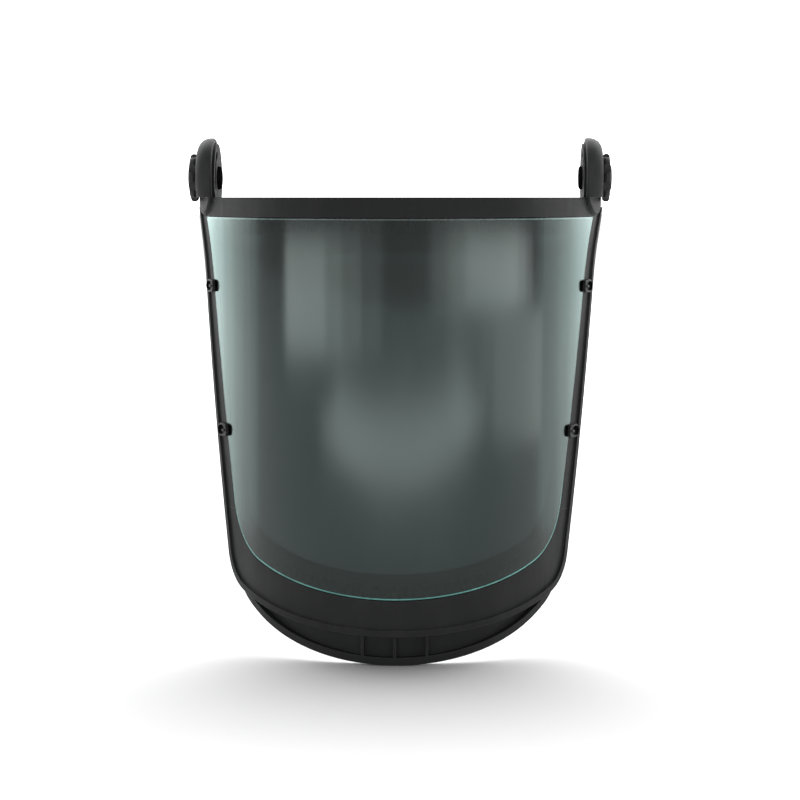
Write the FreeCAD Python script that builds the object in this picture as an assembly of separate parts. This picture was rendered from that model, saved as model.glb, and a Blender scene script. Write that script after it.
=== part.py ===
"""Full face shield: tinted visor in a moulded frame that tilts on a ratchet headband.

Frame: +X to the right as seen from the front, the visor faces -Y, +Z up, millimetres.
The origin is the centre of the headband, so the headband's own plane passes through it.
"""
import FreeCAD, Part
import math
import os
from BOPTools import SplitAPI
from FreeCAD import Vector

# ---------------------------------------------------------------- driving dimensions
PIVOT_Y = -42.0            # tilt axis, parallel to X
PIVOT_Z = 50.0
TILT_RANGE = 88.0          # degrees from lowered to raised

FRONT_Y = -150.0           # outer visor face on the centre line
FRONT_RADIUS = 110.0       # plan radius of the visor's front
FRONT_HALF_ANGLE = math.radians(52.0)
SIDE_RADIUS = 210.0        # plan radius of its flatter sides

VISOR_TOP = 26.0
VISOR_BOTTOM = -194.0
VISOR_THICKNESS = 2.0
FLARE_TOP = (169.0, 26.0, 0)     # side edge, as distance round the face and height: it flares
FLARE_MIDDLE = (159.4, 10.0, 0)  # out from the knee to the top corner
KNEE = (154.2, -4.0, 0)
SIDE_SLOPE = 0.2356        # side edge's lean below the knee
VISOR_BOTTOM_RADIUS = 267.0
VISOR_CORNER = 45.0
GASKET_THICKNESS = 0.6
EDGE_GAP = 0.4             # between the visor's edge and the frame's rebate

FRAME_THICKNESS = 5.0
RAIL_WIDTH = 14.0          # frame outside the visor's edge
LEDGE_WIDTH = 11.0         # frame behind the visor's side edges
BROW_LEDGE = 10.0          # the same at the top
CHIN_LEDGE = 14.7          # the same at the bottom
BEAD_INSET = 0.5           # raised bead just inside the frame's outer edge
BEAD_WIDTH = 3.6
BEAD_RISE = 1.5
BEAD_TOP = 32.0
BROW_TOP = 38.0
BROW_SEAM = 135.0          # half length of the brow bar, along the surface
BROW_FLANGE_DEPTH = 14.0
BROW_FLANGE_HALF = 118.0
CHIN_SEAM = -150.0         # height where rails meet the chin guard
CHIN_BOTTOM = -215.6
CHIN_RADIUS = 345.0
CHIN_CORNER = 30.0
LIP_BOTTOM = -233.0        # recessed lip under the chin guard
LIP_RADIUS = 225.0
LIP_CORNER = 40.0
LIP_REACH = 124.0          # half length along the face
LIP_INNER = 8.5            # depths of its two faces behind the visor's outer face
LIP_OUTER = 3.2
LIP_WALL = 1.6             # left behind the groove
LIP_RIM = 4.5              # solid rim under the groove
GROOVE_REACH = 108.0
GROOVE_HIDDEN = 0.6        # how far the groove runs up behind the chin guard
RIB_SPACING = 19.5
RIB_HALF = 0.9

SCREW_RADIUS = 1.25        # frame screws
SCREW_HEAD = 2.6
SCREW_HEAD_HEIGHT = 1.5
SCREW_DEPTH = 3.6          # shank inside the frame
TONGUE = 3.0               # lap joints behind the frame
HEAD_GAP = 0.1             # a flat screw head on the curved face
BROW_SCREWS = [(140.0, 32.0), (147.0, 32.0)]      # distance round the face, height
CHIN_SCREWS = [(125.5, -144.0), (131.5, -144.0)]
LIP_SCREWS = [-70.0, 0.0, 70.0]

EAR_RADIUS = 24.5          # pivot cup on each ear
EAR_OUTER_X = 125.0
EAR_PLATE_X = 116.6        # inner face of the cup's closed side
CUP_RIM_X = 114.3
CUP_WALL = 3.0
CUP_ROUND = 8.0            # its outer edge
CUP_FOOT_RISE = 2.8        # how far it stands out of the face below the brow bar's top
BUSH_RADIUS = 5.5
WASHER_RADIUS = 11.5
BRACKET_RADIUS = 21.0
BRACKET_OUTER_X = 115.8
BRACKET_THICKNESS = 3.0
STUD_RADIUS = 4.0
THREAD_RADIUS = 3.0
STOP_RADIUS = 15.0         # stop pin's distance from the tilt axis
STOP_PIN_RADIUS = 2.0
STOP_REST_ANGLE = 200.0    # stop pin's place at rest, from +Y towards +Z
KNOB_RADIUS = 14.75
KNOB_INNER_X = 125.5
KNOB_OUTER_X = 130.8
KNOB_LOBES = 8
INSERT_RADIUS = 5.0
INSERT_END_X = KNOB_OUTER_X - 1.5
THROUGH_X = (100.0, 140.0)  # span that passes right through every part of the pivot
SLOT_X = (108.0, 118.0)     # span that passes through the bracket's disc

CLIP_HEIGHTS = {"upper": -16.0, "lower": -103.0}
CLIP_INSET = 5.0           # clip axis outside the visor's edge
CLIP_CLEARANCE = 0.3
CLIP_THICKNESS = 1.8
CLIP_SCREW_RADIUS = 1.5
CLIP_HALF = 4.2            # clip's half width at its axis
CLIP_NOSE = 7.8            # its reach over the visor

RING_A = 82.5              # headband's inner half width
RING_B = 104.0             # headband's inner half length
RING_TILT = -10.6          # degrees about X: the nape end hangs lower
BAND_THICKNESS = 2.2
BAND_END = 32.0            # the front band's ends, behind the ears
RIVET_RADIUS = 1.6
RIVET_HEAD = 3.2
PAD_RIVETS = [-27.5, -8.5] # ring angles of the bracket's rivets on the right side
STRAP_RIVETS = [7.0, 14.0] # ring angles of the strap's rivets on the right side
PAD_OUTER = 5.2            # outer face of the bracket's pad
STRAP_IN = 2.4             # strap faces, measured outwards from the band's inner face
STRAP_OUT = 3.8
STRAP_HALF = 10.0
TAIL_TIP = 4.2             # rack tooth tips, above and below the pinion's axis
PINION_TEETH = 12
PINION_PITCH_RADIUS = 4.75
PINION_SHAFT = 3.6
PINION_ROOT = 3.7
PINION_TIP = 5.4
RACK_DEPTH = 1.9
HOUSING_HALF = 36.0        # ratchet housing, half length and half height
HOUSING_HEIGHT = 17.0
HOUSING_SCREWS = [(x, z) for x in (-24.0, 24.0) for z in (-13.5, 13.5)]
COVER_OUT = 6.6
COVER_SCREW_SEAT = 5.4
SHELL_OUT = 9.0            # outer face of its knob seat
KNOB_SEAT = SHELL_OUT + 0.3
RATCHET_KNOB_RADIUS = 21.0
RATCHET_KNOB_DEPTH = 13.0
RATCHET_FLUTES = 16
RATCHET_SCREW_RADIUS = 1.3

SIDES = {"left": -1, "right": 1}
FRONT_ARC = FRONT_RADIUS * FRONT_HALF_ANGLE
X_AXIS = Vector(1, 0, 0)
Y_AXIS = Vector(0, 1, 0)
Z_AXIS = Vector(0, 0, 1)


# ---------------------------------------------------------------- the curved face
def face_angle(s):
    """Plan angle of the surface normal at distance s from the centre line."""
    reach = abs(s)
    if reach <= FRONT_ARC:
        angle = reach / FRONT_RADIUS
    else:
        angle = FRONT_HALF_ANGLE + (reach - FRONT_ARC) / SIDE_RADIUS
    return math.copysign(angle, s)


def face_normal(s):
    """Outward normal of the face at distance s from the centre line."""
    angle = face_angle(s)
    return Vector(math.sin(angle), -math.cos(angle), 0)


def face_point(s, z, t=0.0):
    """Point at distance s round the visor's outer face and height z, t outside that face."""
    centre = Vector(0, FRONT_Y + FRONT_RADIUS, z)
    radius = FRONT_RADIUS
    if abs(s) > FRONT_ARC:
        shift = SIDE_RADIUS - FRONT_RADIUS
        side = math.copysign(1, s)
        centre -= Vector(side * math.sin(FRONT_HALF_ANGLE), -math.cos(FRONT_HALF_ANGLE), 0) * shift
        radius = SIDE_RADIUS
    return centre + face_normal(s) * (radius + t)


def face_band(t_in, t_out, reach, low, high):
    """Full curved band between two offsets of the face, from s = -reach to reach."""
    def arcs(t, ends):
        return [Part.Arc(face_point(a, low, t), face_point((a + b) / 2, low, t),
                         face_point(b, low, t)).toShape() for a, b in ends]
    spans = [(-reach, -FRONT_ARC), (-FRONT_ARC, FRONT_ARC), (FRONT_ARC, reach)]
    edges = arcs(t_in, spans) + arcs(t_out, spans)
    for s in (-reach, reach):
        edges.append(Part.LineSegment(face_point(s, low, t_in), face_point(s, low, t_out)).toShape())
    return Part.Face(Part.Wire(Part.__sortEdges__(edges))).extrude(Vector(0, 0, high - low))


def wrap(flat, t_in, t_out):
    """Plate of the flat outline (x = distance round the face, y = height) laid on the face."""
    walls = []
    for edge in flat.OuterWire.OrderedEdges:
        first, last = edge.Vertexes[0].Point, edge.Vertexes[-1].Point
        if abs(first.x - last.x) < 1e-6 and edge.Curve.TypeId == "Part::GeomLine":
            steps = 2
        else:
            steps = max(5, int(edge.Length / 9) + 2)
        points = edge.discretize(Number=steps)
        rails = []
        for t in (t_in - 1.5, t_out + 1.5):
            spots = [face_point(p.x, p.y, t) for p in points]
            if steps == 2:
                rails.append(Part.LineSegment(*spots).toShape())
            else:
                curve = Part.BSplineCurve()
                curve.interpolate(Points=spots, Parameters=[float(i) for i in range(steps)])
                rails.append(curve.toShape())
        walls.append(Part.makeRuledSurface(*rails))
    box = flat.BoundBox
    reach = max(abs(box.XMin), abs(box.XMax)) + 12
    blank = face_band(t_in, t_out, reach, box.YMin - 10, box.YMax + 10)
    pieces = SplitAPI.slice(blank, [Part.makeShell(walls)], "Split", 1e-5).Solids
    wanted = flat.Area * (t_out - t_in)
    return min(pieces, key=lambda piece: abs(piece.Volume - wanted))


# ---------------------------------------------------------------- flat outlines
def flat_face(edges):
    return Part.Face(Part.Wire(Part.__sortEdges__(edges)))


def rectangle(x0, y0, x1, y1):
    return Part.Face(Part.makePolygon([Vector(x0, y0), Vector(x1, y0), Vector(x1, y1),
                                       Vector(x0, y1), Vector(x0, y0)]))


def disc(x, y, radius):
    return Part.Face(Part.Wire(Part.makeCircle(radius, Vector(x, y, 0))))


def rounded(corners):
    """Flat face from corners (x, y, radius); a zero radius leaves the corner sharp."""
    edges = []
    count = len(corners)
    joins = []
    for i in range(count):
        before, here, after = (Vector(*corners[(i + k) % count][:2], 0) for k in (-1, 0, 1))
        radius = corners[i][2]
        a, b = (before - here).normalize(), (after - here).normalize()
        if radius == 0:
            joins.append((here, None, here))
            continue
        half = a.getAngle(b) / 2
        run = radius / math.tan(half)
        middle = here + (a + b).normalize() * (radius / math.sin(half) - radius)
        joins.append((here + a * run, middle, here + b * run))
    for i in range(count):
        start, middle, end = joins[i]
        if middle is not None:
            edges.append(Part.Arc(start, middle, end).toShape())
        following = joins[(i + 1) % count][0]
        if end.distanceToPoint(following) > 1e-6:
            edges.append(Part.LineSegment(end, following).toShape())
    return flat_face(edges)


def largest(shape):
    """The one face that matters in a flat cut."""
    return max(shape.Faces, key=lambda face: face.Area)


def joined(*flats):
    """One flat face from overlapping ones."""
    first, *rest = [flat.extrude(Z_AXIS) for flat in flats]
    solid = first.fuse(rest).removeSplitter()
    return max((face for face in solid.Faces if abs(face.BoundBox.ZMax) < 1e-6),
               key=lambda face: face.Area)


def face_outline(grow, top, bottom, radius, corner):
    """Visor-shaped outline: its flared and straight sides moved out by `grow`, a level top,
    and a bottom arc joined to the sides by corner arcs."""
    flare = Part.Arc(Vector(*FLARE_TOP), Vector(*FLARE_MIDDLE), Vector(*KNEE)).toShape().Curve
    down = Vector(-SIDE_SLOPE, -1, 0).normalize()
    out = Vector(1, -SIDE_SLOPE, 0).normalize()
    knee = Vector(*KNEE) + out * grow
    middle, high = (point + (flare.Center - point).normalize() * grow
                    for point in (Vector(*FLARE_MIDDLE), Vector(*FLARE_TOP)))
    rise = (high - flare.Center).cross(Z_AXIS).normalize() * 45
    above = high + (rise if rise.y > 0 else -rise)
    # the corner arc's centre is `corner` inside the side and radius - corner from the arc's centre
    hub = Vector(0, bottom + radius, 0)
    start = knee - out * corner - hub
    along = start.dot(down)
    run = -along + math.sqrt(along ** 2 - start.dot(start) + (radius - corner) ** 2)
    centre = hub + start + down * run
    spoke = (centre - hub).normalize()
    side_end = centre + out * corner
    corner_middle = centre + (out + spoke).normalize() * corner
    bottom_end = hub + spoke * radius

    def mirror(point):
        return Vector(-point.x, point.y, 0)

    edges = [Part.LineSegment(above, mirror(above)).toShape(),
             Part.Arc(bottom_end, Vector(0, bottom, 0), mirror(bottom_end)).toShape()]
    for flip in (lambda point: point, mirror):
        edges += [Part.LineSegment(flip(above), flip(high)).toShape(),
                  Part.Arc(flip(high), flip(middle), flip(knee)).toShape(),
                  Part.LineSegment(flip(knee), flip(side_end)).toShape(),
                  Part.Arc(flip(side_end), flip(corner_middle), flip(bottom_end)).toShape()]
    return largest(flat_face(edges).common(rectangle(-260, -300, 260, top)))


VISOR_FLAT = face_outline(0, VISOR_TOP, VISOR_BOTTOM, VISOR_BOTTOM_RADIUS, VISOR_CORNER)
REBATE_FLAT = face_outline(EDGE_GAP, VISOR_TOP + EDGE_GAP, VISOR_BOTTOM - EDGE_GAP,
                           VISOR_BOTTOM_RADIUS + EDGE_GAP, VISOR_CORNER + EDGE_GAP)
WINDOW_FLAT = face_outline(-LEDGE_WIDTH, VISOR_TOP - BROW_LEDGE, VISOR_BOTTOM + CHIN_LEDGE,
                           VISOR_BOTTOM_RADIUS - CHIN_LEDGE, VISOR_CORNER - 5.0)
FRAME_FLAT = face_outline(RAIL_WIDTH, BROW_TOP, CHIN_BOTTOM, CHIN_RADIUS, CHIN_CORNER)
BEAD_EDGES = [face_outline(RAIL_WIDTH - inset, BROW_TOP, CHIN_BOTTOM + inset, CHIN_RADIUS - inset,
                           CHIN_CORNER - inset) for inset in (BEAD_INSET, BEAD_INSET + BEAD_WIDTH)]
LIP_FLAT = face_outline(RAIL_WIDTH, CHIN_SEAM, LIP_BOTTOM, LIP_RADIUS, LIP_CORNER)


# ---------------------------------------------------------------- solid helpers
def cylinder(radius, start, axis, length):
    return Part.makeCylinder(radius, length, start, axis)


def pivot_disc(radius, x0, x1):
    """Disc round the tilt axis on the +X side."""
    return cylinder(radius, Vector(x0, PIVOT_Y, PIVOT_Z), X_AXIS, x1 - x0)


def mirrored(shape, side):
    """The +X shape itself, or its mirror image for the left side."""
    if side == "right":
        return shape
    return shape.mirror(Vector(0, 0, 0), X_AXIS)


def pivot_point(angle, radius, x):
    """Point round the tilt axis; the angle runs from +Y towards +Z."""
    turn = math.radians(angle)
    return Vector(x, PIVOT_Y + radius * math.cos(turn), PIVOT_Z + radius * math.sin(turn))


def pivot_sector(radius, first, last, x0, x1):
    """Wedge round the tilt axis between two angles, in steps short enough to stay round."""
    steps = max(2, int((last - first) / 20) + 1)
    rim = [pivot_point(first + (last - first) * i / steps, radius, x0) for i in range(steps + 1)]
    hub = Vector(x0, PIVOT_Y, PIVOT_Z)
    return Part.Face(Part.makePolygon([hub] + rim + [hub])).extrude(X_AXIS * (x1 - x0))


def revolved(profile, start, axis, side_axis):
    """Solid turned about an axis; the profile is (distance along the axis, radius, corner)."""
    flat = rounded(profile)
    turned = flat.revolve(Vector(0, 0, 0), X_AXIS, 360)
    solid = Part.Solid(turned.Shells[0])
    if solid.Volume < 0:
        solid.reverse()
    frame = FreeCAD.Rotation(axis, side_axis, axis.cross(side_axis), "XYZ")
    solid.Placement = FreeCAD.Placement(start, frame)
    return solid


def rounded_prism(flat, start, x_axis, y_axis, depth):
    """Flat outline raised by depth along x_axis cross y_axis, from start."""
    solid = flat.extrude(Z_AXIS * depth)
    frame = FreeCAD.Rotation(x_axis, y_axis, x_axis.cross(y_axis), "XYZ")
    solid.Placement = FreeCAD.Placement(start, frame)
    return solid


# ---------------------------------------------------------------- frame of the shield
# space that the visor and its gasket take out of the frame
REBATE = wrap(REBATE_FLAT, -VISOR_THICKNESS - GASKET_THICKNESS, 2.0)


def screw(start, axis, shank_radius, length, head_radius, head_height):
    """Pan-head screw: the head's underside is at start and the shank runs along axis."""
    head = revolved([(-head_height, 0, 0), (-head_height, head_radius, head_height * 0.6),
                     (0, head_radius, 0), (0, 0, 0)], start, axis, any_side(axis))
    shank = cylinder(shank_radius, start, axis, length)
    slot = Part.makeBox(head_height * 0.5, head_radius * 3, 0.8,
                        Vector(-head_height - 0.05, -head_radius * 1.5, -0.4))
    slot.Placement = FreeCAD.Placement(start, FreeCAD.Rotation(
        axis, any_side(axis), axis.cross(any_side(axis)), "XYZ"))
    return head.fuse(shank).cut(slot)


def any_side(axis):
    """A unit vector square to the axis."""
    other = Z_AXIS if abs(axis.z) < 0.9 else X_AXIS
    return axis.cross(other).normalize()


def lap_screw(s, z):
    """Screw from behind through a tongue into the frame."""
    start = face_point(s, z, -FRAME_THICKNESS - TONGUE - HEAD_GAP)
    return screw(start, face_normal(s), SCREW_RADIUS, TONGUE + SCREW_DEPTH, SCREW_HEAD,
                 SCREW_HEAD_HEIGHT)


def drilled(shape, spots):
    """Shape with the screw holes of the lap joints cut in it."""
    for s, z in spots:
        start = face_point(s, z, -FRAME_THICKNESS - TONGUE - 1)
        shape = shape.cut(cylinder(SCREW_RADIUS, start, face_normal(s), TONGUE + 1 + SCREW_DEPTH))
    return shape


def both_sides(spots):
    return spots + [(-s, z) for s, z in spots]


def brow_bar():
    bar = wrap(rectangle(-BROW_SEAM, VISOR_TOP - BROW_LEDGE, BROW_SEAM, BROW_TOP), -FRAME_THICKNESS, 0)
    bar = bar.cut(REBATE)
    flange = wrap(rectangle(-BROW_FLANGE_HALF, BROW_TOP - 2.4, BROW_FLANGE_HALF, BROW_TOP),
                  -BROW_FLANGE_DEPTH, -FRAME_THICKNESS)
    bar = bar.fuse(flange)
    for side in (-1, 1):
        ends = sorted((side * 125.0, side * 151.0))
        tongue = wrap(rectangle(ends[0], VISOR_TOP - 6, ends[1], BROW_TOP - 1.5),
                      -FRAME_THICKNESS - TONGUE, -FRAME_THICKNESS)
        bar = bar.fuse(tongue)
    return drilled(bar, both_sides(BROW_SCREWS)).removeSplitter()


def ear_web_flat():
    """Outline of the web that rises from the rail to the pivot cup."""
    return rounded([(124, 10, 0), (124, BROW_TOP, 0), (157.5, BROW_TOP, 4), (165.5, 64, 6),
                    (172, 70, 6), (188, 66, 10), (190, 38, 12), (178, 8, 0)])


def pivot_cup():
    """Round boss of the ear, open towards the head, that holds the bracket's disc."""
    depth, floor = EAR_OUTER_X - CUP_RIM_X, EAR_PLATE_X - CUP_RIM_X
    bore = EAR_RADIUS - CUP_WALL
    return revolved([(0, bore, 0), (0, EAR_RADIUS, 1.4), (depth, EAR_RADIUS, CUP_ROUND),
                     (depth, 0, 0), (floor, 0, 0), (floor, bore, 0)],
                    Vector(CUP_RIM_X, PIVOT_Y, PIVOT_Z), X_AXIS, Y_AXIS)


def cup_foot_trim():
    """Space outside the face beside the brow bar's end, cut away from the cup."""
    return wrap(rectangle(BROW_SEAM + 5, 12, 205, BROW_TOP), CUP_FOOT_RISE, 20)


def bead(region):
    """Part of the raised bead that runs down the rails and round the chin."""
    strip = BEAD_EDGES[0].cut(BEAD_EDGES[1]).common(region)
    return wrap(largest(strip), -1.0, BEAD_RISE)


def side_arm(side):
    """Side rail and ear in one moulding."""
    notch = VISOR_TOP - BROW_LEDGE
    outside_bar = rounded([(60, CHIN_SEAM, 0), (260, CHIN_SEAM, 0), (260, BROW_TOP - 12, 0),
                           (BROW_SEAM, BROW_TOP - 12, 0), (BROW_SEAM, notch, 0), (60, notch, 0)])
    rail = largest(FRAME_FLAT.cut(WINDOW_FLAT).common(outside_bar))
    web = largest(ear_web_flat().common(rectangle(BROW_SEAM, 0, 260, 90)))
    flat = joined(rail, web)
    arm = wrap(flat, -FRAME_THICKNESS, 0).cut(REBATE)
    arm = arm.fuse(bead(rectangle(60, CHIN_SEAM, 260, BEAD_TOP)))
    arm = arm.cut(pivot_disc(EAR_RADIUS - CUP_WALL, 90, EAR_PLATE_X))
    arm = arm.fuse(pivot_cup().cut(cup_foot_trim()))
    # the bracket's neck passes through the open part of the rim as the ear turns about it
    arm = arm.cut(pivot_sector(EAR_RADIUS + 3, 266, 415, 90, EAR_PLATE_X))
    arm = arm.cut(pivot_disc(KNOB_RADIUS + 1.5, EAR_OUTER_X, EAR_OUTER_X + 12))
    arm = arm.cut(pivot_disc(BUSH_RADIUS, *THROUGH_X))
    stop = pivot_point(STOP_REST_ANGLE, STOP_RADIUS, EAR_PLATE_X - 1)
    arm = arm.cut(cylinder(STOP_PIN_RADIUS, stop, X_AXIS, 6))
    arm = drilled(arm, BROW_SCREWS + CHIN_SCREWS)
    for height in CLIP_HEIGHTS.values():
        s = clip_place(height)
        arm = arm.cut(cylinder(CLIP_SCREW_RADIUS, face_point(s, height, -4), face_normal(s), 8))
    return mirrored(arm.removeSplitter(), side)


def chin_guard():
    region = FRAME_FLAT.cut(WINDOW_FLAT).common(rectangle(-250, -300, 250, CHIN_SEAM))
    guard = wrap(largest(region), -FRAME_THICKNESS, 0).cut(REBATE)
    guard = guard.fuse(bead(rectangle(-250, -300, 250, CHIN_SEAM)))
    for side in (-1, 1):
        ends = sorted((side * 119.0, side * 134.5))
        tongue = wrap(rectangle(ends[0], CHIN_SEAM - 10, ends[1], CHIN_SEAM + 12),
                      -FRAME_THICKNESS - TONGUE, -FRAME_THICKNESS)
        guard = guard.fuse(tongue)
    guard = drilled(guard, both_sides(CHIN_SCREWS))
    for s in LIP_SCREWS:
        guard = guard.cut(lip_screw_hole(s))
    return guard.removeSplitter()


def lip_height(s):
    """Height of the lip screws, a little above the chin guard's bottom edge."""
    return CHIN_BOTTOM + CHIN_RADIUS - math.sqrt(CHIN_RADIUS ** 2 - s ** 2) + 5.5


def lip_screw_hole(s):
    start = face_point(s, lip_height(s), -FRAME_THICKNESS - 4)
    return cylinder(SCREW_RADIUS, start, face_normal(s), 7)


def chin_lip():
    """Recessed lip under the chin guard, with a ribbed groove above its rim."""
    region = rectangle(-LIP_REACH, -250, LIP_REACH, CHIN_SEAM - 10)
    below = largest(LIP_FLAT.cut(FRAME_FLAT).common(region))
    behind = LIP_FLAT.cut(disc(0, CHIN_BOTTOM + CHIN_RADIUS + 10, CHIN_RADIUS))
    behind = largest(behind.common(rectangle(-112, -250, 112, CHIN_SEAM - 10)))
    lip = wrap(below, -LIP_INNER, -LIP_OUTER).fuse(wrap(behind, -LIP_INNER, -FRAME_THICKNESS))
    groove = disc(0, LIP_BOTTOM + LIP_RADIUS + LIP_RIM, LIP_RADIUS)
    groove = groove.cut(disc(0, CHIN_BOTTOM + CHIN_RADIUS + GROOVE_HIDDEN, CHIN_RADIUS))
    groove = groove.common(rectangle(-GROOVE_REACH, -250, GROOVE_REACH, CHIN_SEAM - 10))
    for s in (-RIB_SPACING, 0, RIB_SPACING):
        groove = groove.cut(rectangle(s - RIB_HALF, -250, s + RIB_HALF, CHIN_SEAM))
    for pocket in groove.Faces:
        lip = lip.cut(wrap(pocket, -LIP_INNER + LIP_WALL, 0))
    for s in LIP_SCREWS:
        lip = lip.cut(lip_screw_hole(s))
    return lip.removeSplitter()


def lip_screws():
    return Part.makeCompound([
        screw(face_point(s, lip_height(s), -LIP_INNER - HEAD_GAP), face_normal(s),
              SCREW_RADIUS, 5.6, SCREW_HEAD, SCREW_HEAD_HEIGHT)
        for s in LIP_SCREWS])


def frame_screws():
    return Part.makeCompound([lap_screw(s, z) for s, z in both_sides(BROW_SCREWS + CHIN_SCREWS)])


def visor():
    return wrap(VISOR_FLAT, -VISOR_THICKNESS, 0)


def visor_gasket():
    outer = VISOR_FLAT.makeOffset2D(-1.0)
    inner = VISOR_FLAT.makeOffset2D(-8.0)
    t_in, t_out = -VISOR_THICKNESS - GASKET_THICKNESS, -VISOR_THICKNESS
    return wrap(outer, t_in, t_out).cut(wrap(inner, t_in - 1, t_out + 1))


# ---------------------------------------------------------------- visor clips
def clip_place(height):
    """Distance round the face of a clip's axis at this height."""
    return KNEE[0] + SIDE_SLOPE * (height - KNEE[1]) + CLIP_INSET


def visor_clip(side, level):
    """Quarter-turn clip: its nose lies over the visor's edge, or turns to point along the rail."""
    height = CLIP_HEIGHTS[level]
    s = clip_place(height)
    normal = face_normal(s)
    across = normal.cross(Z_AXIS).normalize()
    inward = across if across.dot(face_point(0, 0) - face_point(s, 0)) > 0 else -across
    start = face_point(s, height, CLIP_CLEARANCE)
    body = rounded([(-CLIP_HALF, -CLIP_HALF, 3.8), (CLIP_NOSE, -3.4, 2.6), (CLIP_NOSE, 3.4, 2.6),
                    (-CLIP_HALF, CLIP_HALF, 3.8)])
    up = normal.cross(inward)
    plate = rounded_prism(body, start, inward, up, CLIP_THICKNESS)
    grip = rounded([(0.6 - CLIP_HALF, -0.7, 0.6), (CLIP_NOSE - 1.4, -0.7, 0.6),
                    (CLIP_NOSE - 1.4, 0.7, 0.6), (0.6 - CLIP_HALF, 0.7, 0.6)])
    grip = rounded_prism(grip, start + normal * CLIP_THICKNESS, inward, up, 0.9)
    clip = plate.fuse(grip)
    clip = clip.cut(cylinder(3.2, start + normal * CLIP_THICKNESS, normal, 3))
    clip = clip.cut(cylinder(CLIP_SCREW_RADIUS + 0.08, start - normal, normal, 6))
    return mirrored(clip.removeSplitter(), side)


def clip_screws():
    screws = []
    for side in SIDES:
        for height in CLIP_HEIGHTS.values():
            s = clip_place(height)
            seat = face_point(s, height, CLIP_CLEARANCE + CLIP_THICKNESS + 0.05)
            length = CLIP_CLEARANCE + CLIP_THICKNESS + 3.5
            screws.append(mirrored(screw(seat, -face_normal(s), CLIP_SCREW_RADIUS, length, 2.9, 1.1), side))
    return Part.makeCompound(screws)


# ---------------------------------------------------------------- tilt pivot
def pivot_bush(side):
    """Flanged sleeve in the ear that the stud runs in."""
    sleeve = pivot_disc(BUSH_RADIUS, EAR_PLATE_X, EAR_OUTER_X)
    return mirrored(sleeve.cut(pivot_disc(STUD_RADIUS + 0.05, *THROUGH_X)), side)


def pivot_stud(side):
    """Button-headed stud: plain where the ear turns, threaded in the knob."""
    x_back = BRACKET_OUTER_X - BRACKET_THICKNESS
    head = revolved([(-2.2, 0, 0), (-2.2, 7.2, 1.6), (0, 7.2, 0), (0, 0, 0)],
                    Vector(x_back, PIVOT_Y, PIVOT_Z), X_AXIS, Y_AXIS)
    stud = head.fuse(pivot_disc(STUD_RADIUS, x_back, EAR_OUTER_X + 0.3))
    stud = stud.fuse(pivot_disc(THREAD_RADIUS, EAR_OUTER_X + 0.3, KNOB_OUTER_X - 1.8))
    socket = rounded_prism(hexagon(4.0), Vector(x_back - 2.3, PIVOT_Y, PIVOT_Z), Y_AXIS, Z_AXIS, 1.4)
    return mirrored(stud.cut(socket).removeSplitter(), side)


def hexagon(across_flats):
    reach = across_flats / math.sqrt(3)
    corners = [Vector(reach * math.cos(math.radians(60 * i)), reach * math.sin(math.radians(60 * i)))
               for i in range(7)]
    return Part.Face(Part.makePolygon(corners))


def friction_washer(side):
    """Fibre washer between the bracket and the ear."""
    ring = pivot_disc(WASHER_RADIUS, BRACKET_OUTER_X, EAR_PLATE_X - 0.1)
    return mirrored(ring.cut(pivot_disc(STUD_RADIUS, *THROUGH_X)), side)


def stop_pin(side):
    start = pivot_point(STOP_REST_ANGLE, STOP_RADIUS, BRACKET_OUTER_X - BRACKET_THICKNESS + 0.4)
    pin = cylinder(STOP_PIN_RADIUS, start, X_AXIS, EAR_PLATE_X + 5 - start.x)
    return mirrored(pin, side)


def clamp_knob(side):
    """Round knob with thumb scallops and a raised middle."""
    depth = KNOB_OUTER_X - KNOB_INNER_X
    knob = revolved([(0, 0, 0), (0, KNOB_RADIUS - 0.9, 0.8), (1.4, KNOB_RADIUS, 0.8),
                     (depth - 1.2, KNOB_RADIUS, 1.6), (depth - 1.2, 8.2, 1.0), (depth, 7.4, 0.8),
                     (depth, 0, 0)], Vector(KNOB_INNER_X, PIVOT_Y, PIVOT_Z), X_AXIS, Y_AXIS)
    for lobe in range(KNOB_LOBES):
        centre = pivot_point(360 / KNOB_LOBES * (lobe + 0.5), KNOB_RADIUS + 2.2, KNOB_INNER_X - 1)
        knob = knob.cut(cylinder(4.0, centre, X_AXIS, depth + 2))
    knob = knob.cut(pivot_disc(9.0, KNOB_INNER_X - 1, KNOB_INNER_X + 0.9))
    knob = knob.cut(pivot_disc(INSERT_RADIUS, KNOB_INNER_X - 1, INSERT_END_X))
    return mirrored(knob.removeSplitter(), side)


def knob_insert(side):
    """Brass threaded insert moulded in the knob."""
    ring = pivot_disc(INSERT_RADIUS, KNOB_INNER_X + 0.9, INSERT_END_X)
    return mirrored(ring.cut(pivot_disc(THREAD_RADIUS + 0.05, *THROUGH_X)), side)


def spring_washer(side):
    """Dished washer that keeps load on the ear."""
    cone = revolved([(0.0, 8.6, 0), (0.45, 8.6, 0), (1.3, 5.6, 0), (0.85, 5.6, 0)],
                    Vector(EAR_OUTER_X + 0.1, PIVOT_Y, PIVOT_Z), X_AXIS, Y_AXIS)
    return mirrored(cone, side)


# ---------------------------------------------------------------- headband
def ring_place(angle, t, height=0.0):
    """Point of the headband at a parametric angle from +X towards +Y, t outside its inner face,
    before the ring is tilted."""
    turn = math.radians(angle)
    return Vector((RING_A + t) * math.cos(turn), (RING_B + t) * math.sin(turn), height)


def ring_normal(angle):
    turn = math.radians(angle)
    return Vector(math.cos(turn) / RING_A, math.sin(turn) / RING_B, 0).normalize()


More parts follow.
